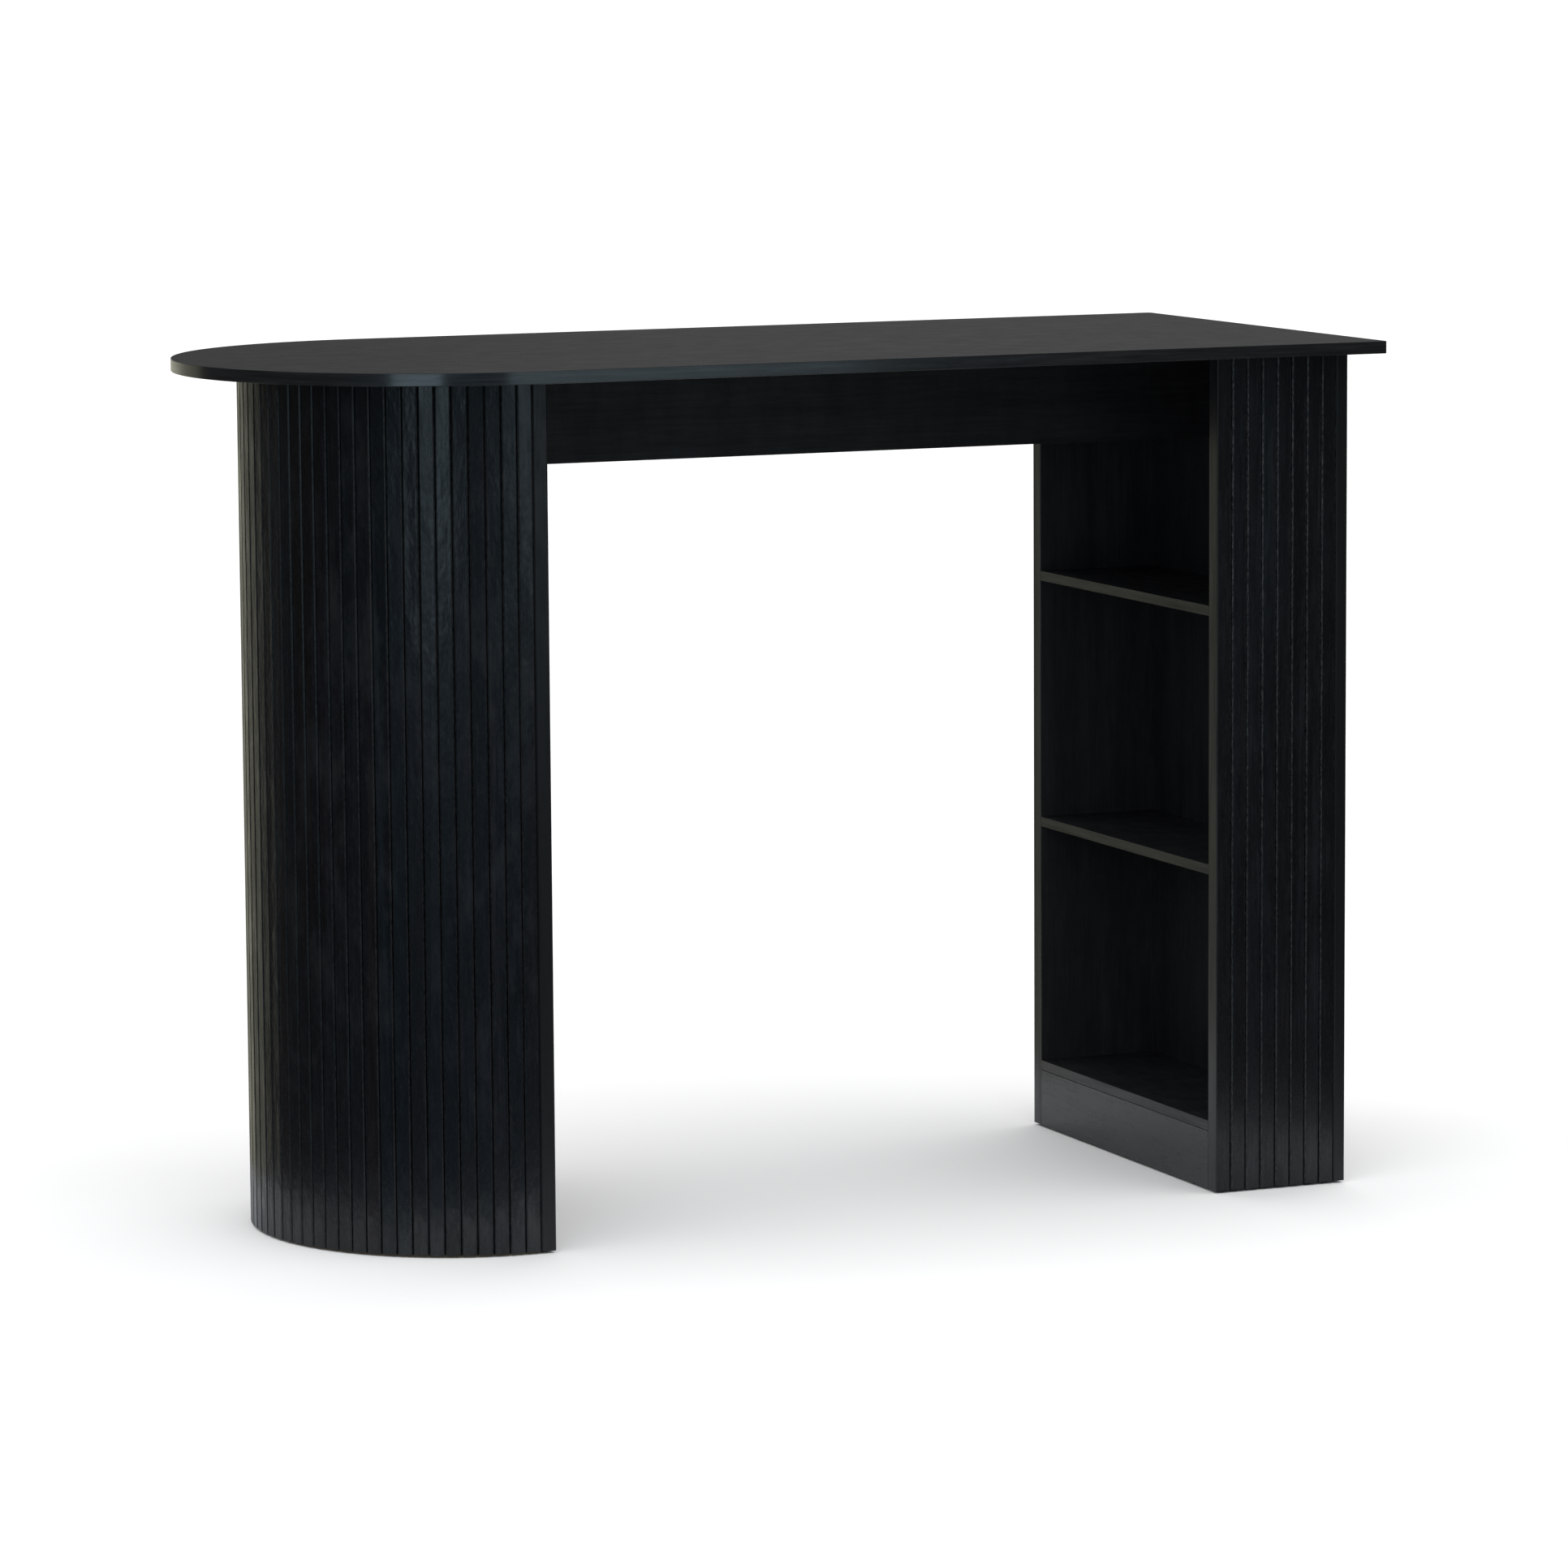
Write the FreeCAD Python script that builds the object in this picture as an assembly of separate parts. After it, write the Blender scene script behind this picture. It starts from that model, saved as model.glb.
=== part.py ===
import FreeCAD, Part
import math
import os
from collections import namedtuple

# A bar table with storage, in millimetres. A D-shaped top stands on a half-round slatted drum and on
# an open shelf unit. +X runs along the table from the round end to the shelf unit, -Y is the front
# and +Z is up. The origin is on the floor, under the middle of the top.

# Table top
table_height = 1030.0
top_length = 1400.0
top_depth = 640.0
top_thickness = 15.0
top_corner_radius = 3.0
top_band_thickness = 1.0
top_band_round = 0.8

# Slats on the drum and on the sides of the shelf unit
slat_thickness = 7.0
slat_gap = 1.2
slat_chamfer = 1.5
slat_glue = 0.1

# Half-round drum
drum_radius = 252.0
drum_overhang = 77.0
drum_straight = 5.0
drum_panel_thickness = 18.0
drum_shell_thickness = 5.0
drum_slat_count = 42
drum_plate_thickness = 15.0
drum_rib_thickness = 12.0
drum_lower_rib_height = 340.0
drum_upper_rib_height = 670.0
drum_batten_size = 25.0
drum_dowel_spread = 110.0

# Shelf unit
unit_width = 175.0
unit_depth = 516.0
unit_overhang = 20.0
unit_panel_thickness = 15.0
unit_end_thickness = 15.0
unit_band_thickness = 1.5
unit_band_round = 1.0
unit_slat_count = 8
shelf_thickness = 12.0
shelf_band_thickness = 1.0
kick_plate_top = 73.8
kick_plate_thickness = 12.0
kick_plate_joint = 0.8

# Apron rail under the top
apron_thickness = 15.0
apron_height = 126.0
apron_front = 75.0

# Wooden dowels
dowel_diameter = 8.0
dowel_length = 30.0
dowel_seat = 10.0
dowel_chamfer = 0.8
thin_dowel_diameter = 6.0
thin_dowel_length = 24.0
shelf_dowel_inset = 35.0
end_dowel_spread = 150.0
apron_dowel_inset = 30.0
kick_dowel_inset = 20.0

# Cam fittings between the top and its supports
cam_diameter = 15.0
cam_depth = 11.5
cam_socket_diameter = 5.0
cam_socket_depth = 2.5
cam_setback = 34.0
cam_bolt_depth = 7.0
cam_bolt_diameter = 6.0
cam_bolt_reach = 9.0
cam_neck_diameter = 4.5
cam_head_length = 4.0
cam_inset = 40.0
cam_drum_spread = 150.0
cap_diameter = 18.0
cap_thickness = 1.2
cap_round = 0.6

# Angle brackets and their screws behind the apron
bracket_count = 4
bracket_end_inset = 110.0
bracket_width = 30.0
bracket_leg = 32.0
bracket_thickness = 2.0
bracket_hole_offset = 20.0
screw_diameter = 3.5
screw_length = 12.0
screw_head_diameter = 7.0
screw_head_height = 2.2

# Nail-on glides
glide_height = 3.0
glide_chamfer = 0.6
drum_glide_diameter = 22.0
drum_glide_radius = 185.0
drum_glide_angle = 40.0
drum_glide_inset = 30.0
unit_glide_diameter = 13.0
unit_glide_inset = 30.0
nail_diameter = 2.0
nail_reach = 12.0
nail_head_diameter = 5.0
nail_head_height = 1.0
nail_head_recess = 1.0

# Clearances
fit_play = 0.1
end_play = 0.5
overcut = 1.0
tolerance = 0.01

# Levels and places that follow from the sizes above
UP = FreeCAD.Vector(0, 0, 1)
DOWN = FreeCAD.Vector(0, 0, -1)
RIGHT = FreeCAD.Vector(1, 0, 0)
LEFT = FreeCAD.Vector(-1, 0, 0)
BACK = FreeCAD.Vector(0, 1, 0)
FRONT = FreeCAD.Vector(0, -1, 0)
half_length = top_length / 2
half_depth = top_depth / 2
top_under = table_height - top_thickness
round_centre_x = -half_length + half_depth

drum_centre_x = -half_length + drum_overhang + drum_radius
drum_joint_x = drum_centre_x + drum_straight
drum_face_x = drum_joint_x + drum_panel_thickness
drum_panel_x = drum_face_x - cam_bolt_depth
slat_back_radius = drum_radius - slat_thickness
shell_radius = slat_back_radius - slat_glue
shell_bore = shell_radius - drum_shell_thickness

unit_end_x = half_length - unit_overhang
unit_open_x = unit_end_x - unit_width
unit_joint_x = unit_end_x - unit_end_thickness
unit_half = unit_depth / 2
unit_slat_back = unit_half - slat_thickness
unit_panel_inside = unit_slat_back - slat_glue - unit_panel_thickness
unit_panel_middle = unit_panel_inside + unit_panel_thickness / 2
bottom_shelf_under = kick_plate_top + kick_plate_joint
bay_height = (top_under - bottom_shelf_under - 3 * shelf_thickness) / 3
shelf_unders = [bottom_shelf_under + level * (bay_height + shelf_thickness) for level in range(3)]

apron_back = apron_front + apron_thickness
apron_middle = apron_front + apron_thickness / 2
apron_under = top_under - apron_height

Fitting = namedtuple("Fitting", "solid bore")
CamSet = namedtuple("CamSet", "bolt housing cap bolt_bore housing_bore")


def point(x, y, z):
    return FreeCAD.Vector(x, y, z)


def block(low_x, high_x, low_y, high_y, low_z, high_z):
    """Square-edged block between two corners."""
    corner = point(low_x, low_y, low_z)
    return Part.makeBox(high_x - low_x, high_y - low_y, high_z - low_z, corner)


def rod(start, direction, length, diameter):
    return Part.makeCylinder(diameter / 2, length, start, direction)


def d_prism(centre_x, radius, straight_x, low_z, high_z):
    """D-shaped upright solid, round towards -X and cut straight at straight_x."""
    front_end = point(straight_x, -radius, low_z)
    front_round = point(centre_x, -radius, low_z)
    apex = point(centre_x - radius, 0, low_z)
    back_round = point(centre_x, radius, low_z)
    back_end = point(straight_x, radius, low_z)
    edges = [
        Part.LineSegment(front_end, front_round).toShape(),
        Part.Arc(front_round, apex, back_round).toShape(),
        Part.LineSegment(back_round, back_end).toShape(),
        Part.LineSegment(back_end, front_end).toShape(),
    ]
    return Part.Face(Part.Wire(edges)).extrude(UP * (high_z - low_z))


def upright_edges(solid, low_x, high_x):
    """Vertical edges of a solid between two X places."""
    found = []
    for edge in solid.Edges:
        box = edge.BoundBox
        inside = box.XMin > low_x - tolerance and box.XMax < high_x + tolerance
        thin = box.XLength < tolerance and box.YLength < tolerance
        if inside and thin and box.ZLength > tolerance:
            found.append(edge)
    return found


def level_edges(solid, height):
    """Edges of a solid that lie flat at one height."""
    found = []
    for edge in solid.Edges:
        box = edge.BoundBox
        if abs(box.ZMin - height) < tolerance and abs(box.ZMax - height) < tolerance:
            found.append(edge)
    return found


def drilled(board, bores):
    return board.cut(bores) if bores else board


def solids(fittings):
    return [fitting.solid for fitting in fittings]


def bores(fittings):
    return [fitting.bore for fitting in fittings]


def save(node, pieces):
    """Write one node, a single solid or a group of separate ones."""
    shape = pieces[0] if len(pieces) == 1 else Part.makeCompound(pieces)
    shape.exportStep("parts/" + node + ".step")
    print(node, len(shape.Solids), "solids", round(shape.Volume), "mm3", shape.isValid())


# Fittings

def dowel(joint, direction, before, after, diameter):
    """Dowel across a joint, and the bore that both boards get for it."""
    pin = rod(joint - direction * before, direction, before + after, diameter)
    rims = [edge for edge in pin.Edges if isinstance(edge.Curve, Part.Circle)]
    pin = pin.makeChamfer(dowel_chamfer, rims)
    bore_start = joint - direction * (before + end_play)
    bore_length = before + after + 2 * end_play
    return Fitting(pin, rod(bore_start, direction, bore_length, diameter + 2 * fit_play))


def thick_dowel(joint, direction):
    """Dowel whose short end is in the board that the direction points into."""
    return dowel(joint, direction, dowel_length - dowel_seat, dowel_seat, dowel_diameter)


def thin_dowel(joint, direction):
    return dowel(joint, direction, thin_dowel_length - dowel_seat, dowel_seat, thin_dowel_diameter)


def cam_set(x, y, inward):
    """Cam fitting at a place on a panel's visible face, with its bolt up into the top."""
    face = point(x, y, top_under - cam_setback)
    centre = face + inward * cam_bolt_depth
    half_head = UP * (cam_head_length / 2)
    thread = rod(centre + UP * cam_setback, UP, cam_bolt_reach, cam_bolt_diameter)
    neck = rod(centre, UP, cam_setback, cam_neck_diameter)
    head = rod(centre - half_head, UP, cam_head_length, cam_bolt_diameter)
    bolt = thread.fuse([neck, head]).removeSplitter()

    bore_start = centre - half_head - UP * end_play
    bore_length = cam_setback + cam_bolt_reach + cam_head_length / 2 + 2 * end_play
    bolt_bore = rod(bore_start, UP, bore_length, cam_bolt_diameter + 2 * fit_play)
    housing_bore = rod(face, inward, cam_depth + end_play, cam_diameter + 2 * fit_play)
    socket = rod(face, inward, cam_socket_depth, cam_socket_diameter)
    housing = rod(face, inward, cam_depth, cam_diameter).cut([bolt_bore, socket])

    cap = rod(face, inward * -1, cap_thickness, cap_diameter)
    outer_face = face - inward * cap_thickness
    rim = [edge for edge in cap.Edges if (edge.BoundBox.Center - outer_face).Length < tolerance]
    return CamSet(bolt, housing, cap.makeFillet(cap_round, rim), bolt_bore, housing_bore)


def cam_bores(sets):
    return [cam.bolt_bore for cam in sets] + [cam.housing_bore for cam in sets]


def screw(seat, direction):
    """Pan-head wood screw whose head sits at seat, and its bore."""
    head = rod(seat, direction * -1, screw_head_height, screw_head_diameter)
    shank = rod(seat, direction, screw_length, screw_diameter)
    bore = rod(seat, direction, screw_length + end_play, screw_diameter + 2 * fit_play)
    return Fitting(head.fuse(shank).removeSplitter(), bore)


Glide = namedtuple("Glide", "foot nail bore")


def glide(x, y, diameter):
    """Nail-on glide under a board, its nail and the nail's bore."""
    foot = rod(point(x, y, 0), UP, glide_height, diameter)
    foot = foot.makeChamfer(glide_chamfer, level_edges(foot, 0))
    seat = nail_head_recess + nail_head_height
    nail_length = glide_height - seat + nail_reach
    recess = rod(point(x, y, 0), UP, seat, nail_head_diameter + 2 * fit_play)
    bore = rod(point(x, y, seat), UP, nail_length + end_play, nail_diameter + 2 * fit_play)
    head = rod(point(x, y, nail_head_recess), UP, nail_head_height, nail_head_diameter)
    shank = rod(point(x, y, seat), UP, nail_length, nail_diameter)
    return Glide(foot.cut([recess, bore]), head.fuse(shank).removeSplitter(), bore)


# Table top

def top_panel(holes):
    inset = half_length - top_band_thickness
    radius = half_depth - top_band_thickness
    board = d_prism(round_centre_x, radius, inset, top_under, table_height)
    board = board.makeFillet(top_corner_radius - top_band_thickness, upright_edges(board, inset, inset))
    return board, drilled(board, holes)


def top_edge_band(board):
    """Band round the whole edge of the top, with its upper and lower edges rounded."""
    outer = d_prism(round_centre_x, half_depth, half_length, top_under, table_height)
    corners = upright_edges(outer, half_length, half_length)
    outer = outer.makeFillet(top_corner_radius, corners)
    rims = level_edges(outer, top_under) + level_edges(outer, table_height)
    return outer.makeFillet(top_band_round, rims).cut(board)


# Slats

def slat(foot, along, outward, width, start_chamfer, end_chamfer):
    """Upright slat with its back on a line from foot, chamfered on its two outer edges."""
    profile = [
        (0, 0),
        (width, 0),
        (width, slat_thickness - end_chamfer),
        (width - end_chamfer, slat_thickness),
        (start_chamfer, slat_thickness),
        (0, slat_thickness - start_chamfer),
    ]
    corners = []
    for across, out in profile:
        corner = foot + along * across + outward * out
        if not corners or (corner - corners[-1]).Length > tolerance:
            corners.append(corner)
    outline = Part.makePolygon(corners + corners[:1])
    return Part.Face(outline).extrude(UP * (top_under - glide_height))


def drum_station(distance):
    """Place of a slat's back and its outward direction, at a distance round the drum from the rear."""
    round_length = math.pi * drum_radius
    turn = min(max((distance - drum_straight) / drum_radius, 0.0), math.pi)
    outward = point(-math.sin(turn), math.cos(turn), 0)
    beyond = 0.0
    if distance < drum_straight:
        beyond = drum_straight - distance
    elif distance > drum_straight + round_length:
        beyond = distance - drum_straight - round_length
    place = point(drum_centre_x + beyond, 0, glide_height) + outward * slat_back_radius
    return place, outward


def drum_slats():
    pitch = (math.pi * drum_radius + 2 * drum_straight) / drum_slat_count
    width = pitch - slat_gap
    pieces = []
    for index in range(drum_slat_count):
        place, outward = drum_station((index + 0.5) * pitch)
        along = outward.cross(UP) * -1
        foot = place - along * (width / 2)
        pieces.append(slat(foot, along, outward, width, slat_chamfer, slat_chamfer))
    return pieces


def unit_slats(outward):
    """Slats on one side of the shelf unit; the first one is trimmed for the edge band."""
    pitch = (unit_joint_x - unit_open_x) / unit_slat_count
    pieces = []
    for index in range(unit_slat_count):
        start = unit_open_x + index * pitch + slat_gap / 2
        start_chamfer = slat_chamfer
        if index == 0:
            start = unit_open_x + unit_band_thickness
            start_chamfer = 0.0
        end = unit_open_x + (index + 1) * pitch - slat_gap / 2
        foot = point(start, outward.y * unit_slat_back, glide_height)
        pieces.append(slat(foot, RIGHT, outward, end - start, start_chamfer, slat_chamfer))
    return pieces


# Drum

def drum_inner_panel(holes):
    """Flat board that closes the drum towards the knee space; its edges show like a slat."""
    board = block(drum_joint_x, drum_face_x, -drum_radius, drum_radius, glide_height, top_under)
    board = board.makeChamfer(slat_chamfer, upright_edges(board, drum_joint_x, drum_face_x))
    return drilled(board, holes)


def drum_shell():
    outer = d_prism(drum_centre_x, shell_radius, drum_joint_x, glide_height, top_under)
    inner_low = glide_height - overcut
    inner_high = top_under + overcut
    inner = d_prism(drum_centre_x, shell_bore, drum_joint_x + overcut, inner_low, inner_high)
    return outer.cut(inner)


def drum_batten(side, play):
    """Corner batten behind the flat board; play makes it the notch that plates get for it."""
    reach = drum_batten_size - drum_straight
    outside = math.sqrt(shell_bore ** 2 - reach ** 2) - fit_play
    low_x = drum_joint_x - drum_batten_size - play
    near = outside - drum_batten_size - play
    far = shell_bore if play else outside
    low_y, high_y = sorted((side * near, side * far))
    return block(low_x, drum_joint_x, low_y, high_y, glide_height, top_under)


def drum_plate(low_z, thickness, holes):
    """Half-round plate or rib inside the shell, notched for the two battens."""
    plate = d_prism(drum_centre_x, shell_bore - fit_play, drum_joint_x, low_z, low_z + thickness)
    return drilled(plate, [drum_batten(-1, fit_play), drum_batten(1, fit_play)] + holes)


# Shelf unit

def side_panel(outward, holes):
    near = outward.y * unit_panel_inside
    far = outward.y * (unit_panel_inside + unit_panel_thickness)
    low_y, high_y = sorted((near, far))
    low_x = unit_open_x + unit_band_thickness
    return drilled(block(low_x, unit_joint_x, low_y, high_y, glide_height, top_under), holes)


def side_band(outward):
    """Band over the open edge of a side panel and of its first slat."""
    low_y, high_y = sorted((outward.y * unit_panel_inside, outward.y * unit_half))
    high_x = unit_open_x + unit_band_thickness
    band = block(unit_open_x, high_x, low_y, high_y, glide_height, top_under)
    return band.makeFillet(unit_band_round, upright_edges(band, unit_open_x, unit_open_x))


def end_panel(holes):
    board = block(unit_joint_x, unit_end_x, -unit_half, unit_half, glide_height, top_under)
    board = board.makeChamfer(slat_chamfer, upright_edges(board, unit_joint_x, unit_end_x))
    return drilled(board, holes)


def shelf(under, holes):
    low_x = unit_open_x + shelf_band_thickness
    high_z = under + shelf_thickness
    board = block(low_x, unit_joint_x, -unit_panel_inside, unit_panel_inside, under, high_z)
    return drilled(board, holes)


def shelf_band(under):
    high_x = unit_open_x + shelf_band_thickness
    high_z = under + shelf_thickness
    return block(unit_open_x, high_x, -unit_panel_inside, unit_panel_inside, under, high_z)


def kick_plate(holes):
    high_x = unit_open_x + kick_plate_thickness
    inside = unit_panel_inside
    board = block(unit_open_x, high_x, -inside, inside, glide_height, kick_plate_top)
    return drilled(board, holes)


# Apron

def apron_rail(holes):
    board = block(drum_face_x, unit_joint_x, apron_front, apron_back, apron_under, top_under)
    return drilled(board, holes)


def bracket_places():
    first = drum_face_x + bracket_end_inset
    last = unit_open_x - bracket_end_inset
    step = (last - first) / (bracket_count - 1)
    return [first + index * step for index in range(bracket_count)]


def bracket(x, holes):
    """Steel angle between the back of the apron and the underside of the top."""
    low_x = x - bracket_width / 2
    high_x = x + bracket_width / 2
    leg_back = apron_back + bracket_thickness
    reach_back = apron_back + bracket_leg
    upright = block(low_x, high_x, apron_back, leg_back, top_under - bracket_leg, top_under)
    level = block(low_x, high_x, apron_back, reach_back, top_under - bracket_thickness, top_under)
    return drilled(upright.fuse(level).removeSplitter(), holes)


def apron_screw(x):
    height = top_under - bracket_hole_offset
    return screw(point(x, apron_back + bracket_thickness, height), FRONT)


def top_screw(x):
    return screw(point(x, apron_back + bracket_hole_offset, top_under - bracket_thickness), UP)


# Places of the fittings

def unit_cam_sets(outward):
    face_y = outward.y * unit_panel_inside
    places = [unit_open_x + cam_inset, unit_joint_x - cam_inset]
    return [cam_set(x, face_y, outward) for x in places]


def drum_cam_sets():
    return [cam_set(drum_face_x, y, LEFT) for y in (-cam_drum_spread, cam_drum_spread)]


def top_dowel_places():
    side_x = (unit_open_x + unit_joint_x) / 2
    end_x = (unit_joint_x + unit_end_x) / 2
    return [
        (drum_panel_x, 0),
        (side_x, -unit_panel_middle),
        (side_x, unit_panel_middle),
        (end_x, -end_dowel_spread),
        (end_x, end_dowel_spread),
    ]


def drum_dowels(low_z, thickness):
    middle = low_z + thickness / 2
    places = (-drum_dowel_spread, drum_dowel_spread)
    return [thick_dowel(point(drum_joint_x, y, middle), RIGHT) for y in places]


def apron_dowels():
    heights = (apron_under + apron_dowel_inset, top_under - apron_dowel_inset)
    pins = []
    for height in heights:
        pins.append(thick_dowel(point(drum_face_x, apron_middle, height), LEFT))
        pins.append(thick_dowel(point(unit_joint_x, apron_middle, height), RIGHT))
    return pins


def shelf_dowels(under):
    middle = under + shelf_thickness / 2
    pins = []
    for x in (unit_open_x + shelf_dowel_inset, unit_joint_x - shelf_dowel_inset):
        pins.append(thin_dowel(point(x, -unit_panel_inside, middle), FRONT))
        pins.append(thin_dowel(point(x, unit_panel_inside, middle), BACK))
    return pins


def kick_dowels():
    x = unit_open_x + kick_plate_thickness / 2
    pins = []
    for height in (glide_height + kick_dowel_inset, kick_plate_top - kick_dowel_inset):
        pins.append(thin_dowel(point(x, -unit_panel_inside, height), FRONT))
        pins.append(thin_dowel(point(x, unit_panel_inside, height), BACK))
    return pins


def end_dowels():
    """Dowels from the side panels' rear edges into the end panel, one at the middle of each bay."""
    pins = []
    for under in shelf_unders:
        height = under + shelf_thickness + bay_height / 2
        for y in (-unit_panel_middle, unit_panel_middle):
            pins.append(thick_dowel(point(unit_joint_x, y, height), RIGHT))
    return pins


def drum_glides():
    flat_x = drum_joint_x - drum_glide_inset
    feet = [glide(flat_x, y, drum_glide_diameter) for y in (-drum_glide_radius, drum_glide_radius)]
    for turn in (-drum_glide_angle, drum_glide_angle):
        x = drum_centre_x - drum_glide_radius * math.cos(math.radians(turn))
        y = drum_glide_radius * math.sin(math.radians(turn))
        feet.append(glide(x, y, drum_glide_diameter))
    return feet


def unit_glides():
    feet = []
    for x in (unit_open_x + unit_glide_inset, unit_joint_x - unit_glide_inset):
        for y in (-unit_panel_middle, unit_panel_middle):
            feet.append(glide(x, y, unit_glide_diameter))
    return feet


def build():
    os.makedirs("parts", exist_ok=True)

    front_cams = unit_cam_sets(FRONT)
    back_cams = unit_cam_sets(BACK)
    drum_cams = drum_cam_sets()
    cams = front_cams + back_cams + drum_cams
    top_pins = [thick_dowel(point(x, y, top_under), UP) for x, y in top_dowel_places()]
    apron_pins = apron_dowels()
    shelf_pins = [shelf_dowels(under) for under in shelf_unders]
    kick_pins = kick_dowels()
    end_pins = end_dowels()
    apron_screws = [apron_screw(x) for x in bracket_places()]
    top_screws = [top_screw(x) for x in bracket_places()]
    drum_feet = drum_glides()
    unit_feet = unit_glides()

    top_holes = [cam.bolt_bore for cam in cams] + bores(top_pins) + bores(top_screws)
    plain_top, top = top_panel(top_holes)
    save("top_panel", [top])
    save("top_edge_band", [top_edge_band(plain_top)])

    plates = [
        ("drum_base_plate", glide_height, drum_plate_thickness),
        ("drum_lower_rib", drum_lower_rib_height, drum_rib_thickness),
        ("drum_upper_rib", drum_upper_rib_height, drum_rib_thickness),
        ("drum_top_plate", top_under - drum_plate_thickness, drum_plate_thickness),
    ]
    drum_pins = []
    nail_bores = [foot.bore for foot in drum_feet]
    for node, low_z, thickness in plates:
        pins = drum_dowels(low_z, thickness)
        save(node, [drum_plate(low_z, thickness, bores(pins) + nail_bores)])
        drum_pins += pins
    panel_holes = bores(drum_pins) + bores(apron_pins) + bores(top_pins) + cam_bores(drum_cams)
    save("drum_inner_panel", [drum_inner_panel(panel_holes)])
    save("drum_shell", [drum_shell()])
    save("drum_front_batten", [drum_batten(-1, 0)])
    save("drum_back_batten", [drum_batten(1, 0)])
    save("drum_slats", drum_slats())

    all_shelf_pins = [pin for pins in shelf_pins for pin in pins]
    unit_nails = [foot.bore for foot in unit_feet]
    side_holes = bores(all_shelf_pins) + bores(kick_pins) + bores(end_pins) + bores(top_pins) + unit_nails
    save("unit_front_panel", [side_panel(FRONT, side_holes + cam_bores(front_cams))])
    save("unit_back_panel", [side_panel(BACK, side_holes + cam_bores(back_cams))])
    save("unit_front_slats", unit_slats(FRONT))
    save("unit_back_slats", unit_slats(BACK))
    save("unit_front_edge_band", [side_band(FRONT)])
    save("unit_back_edge_band", [side_band(BACK)])
    save("unit_end_panel", [end_panel(bores(end_pins) + bores(apron_pins) + bores(top_pins))])
    shelf_names = ["unit_bottom_shelf", "unit_lower_shelf", "unit_upper_shelf"]
    for node, under, pins in zip(shelf_names, shelf_unders, shelf_pins):
        save(node, [shelf(under, bores(pins))])
    save("shelf_edge_bands", [shelf_band(under) for under in shelf_unders])
    save("unit_kick_plate", [kick_plate(bores(kick_pins))])

    save("apron_rail", [apron_rail(bores(apron_pins) + bores(apron_screws))])
    bracket_holes = bores(apron_screws) + bores(top_screws)
    save("apron_brackets", [bracket(x, bracket_holes) for x in bracket_places()])
    save("bracket_screws", solids(apron_screws) + solids(top_screws))

    save("top_dowels", solids(top_pins))
    save("apron_dowels", solids(apron_pins))
    save("drum_dowels", solids(drum_pins))
    save("shelf_dowels", solids(all_shelf_pins))
    save("end_panel_dowels", solids(end_pins))
    save("kick_plate_dowels", solids(kick_pins))
    save("cam_bolts", [cam.bolt for cam in cams])
    save("cam_housings", [cam.housing for cam in cams])
    save("cam_caps", [cam.cap for cam in cams])
    save("drum_glides", [foot.foot for foot in drum_feet])
    save("unit_glides", [foot.foot for foot in unit_feet])
    save("glide_nails", [foot.nail for foot in drum_feet + unit_feet])


build()
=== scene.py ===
import math
from collections import namedtuple

import bpy
from mathutils import Matrix, Vector


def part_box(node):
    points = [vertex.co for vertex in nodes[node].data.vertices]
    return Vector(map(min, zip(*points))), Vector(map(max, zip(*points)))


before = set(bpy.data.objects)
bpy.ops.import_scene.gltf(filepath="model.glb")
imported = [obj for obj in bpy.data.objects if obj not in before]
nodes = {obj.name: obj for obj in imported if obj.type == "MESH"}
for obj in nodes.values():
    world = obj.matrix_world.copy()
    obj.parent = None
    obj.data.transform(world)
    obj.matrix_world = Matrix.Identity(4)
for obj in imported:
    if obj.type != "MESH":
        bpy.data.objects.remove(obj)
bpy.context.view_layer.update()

# Camera, fitted to the photograph's edges: pixels of a 1932 x 1932 picture, metres and degrees.
PICTURE_PIXELS = 1932
FOCAL_PIXELS = 8218.9
SENSOR_MM = 36.0
CAMERA_PLACE = Vector((-3.082, -7.359, 1.552))
CAMERA_TURN = 23.055
CAMERA_TILT = 7.519
CAMERA_ROLL = -0.381
CAMERA_REACH = 1000.0

# Axis of the half-round drum, seen from above: the slats' box gives its place.
drum_low, drum_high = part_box("drum_slats")
drum_radius = (drum_high.y - drum_low.y) / 2
DRUM_AXIS = Vector((drum_low.x + drum_radius, 0.0, 0.0))

# Grain directions: each stretches the pattern along one axis of the part.
ALONG_X = (0.05, 1.0, 1.0)
ALONG_Y = (1.0, 0.05, 1.0)
ALONG_Z = (1.0, 1.0, 0.05)
ALONG_EDGE = (0.05, 0.05, 1.0)

# Noise patterns: scale for a metre, detail and roughness.
Pattern = namedtuple("Pattern", "scale detail roughness")
FINE_GRAIN = Pattern(300.0, 6.0, 0.62)
BROAD_GRAIN = Pattern(45.0, 6.0, 0.62)
BAND_GRAIN = Pattern(70.0, 6.0, 0.62)
RAW_GRAIN = Pattern(160.0, 6.0, 0.62)
RING_GRAIN = Pattern(24.0, 6.0, 0.62)
BRUSHED_GRAIN = Pattern(900.0, 6.0, 0.62)
PORES = Pattern(1100.0, 2.0, 0.55)
CLOUDS = Pattern(30.0, 7.0, 0.68)
FLECKS = Pattern(700.0, 3.0, 0.6)
SPECKS = Pattern(600.0, 3.0, 0.7)
WAVES = Pattern(42.0, 3.0, 0.6)
SPANGLE = Pattern(260.0, 3.0, 0.55)
PLASTIC_SKIN = Pattern(1400.0, 2.0, 0.55)
PLASTIC_PATCHES = Pattern(60.0, 3.0, 0.55)
FLOOR_MOTTLE = Pattern(1.6, 4.0, 0.55)

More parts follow.
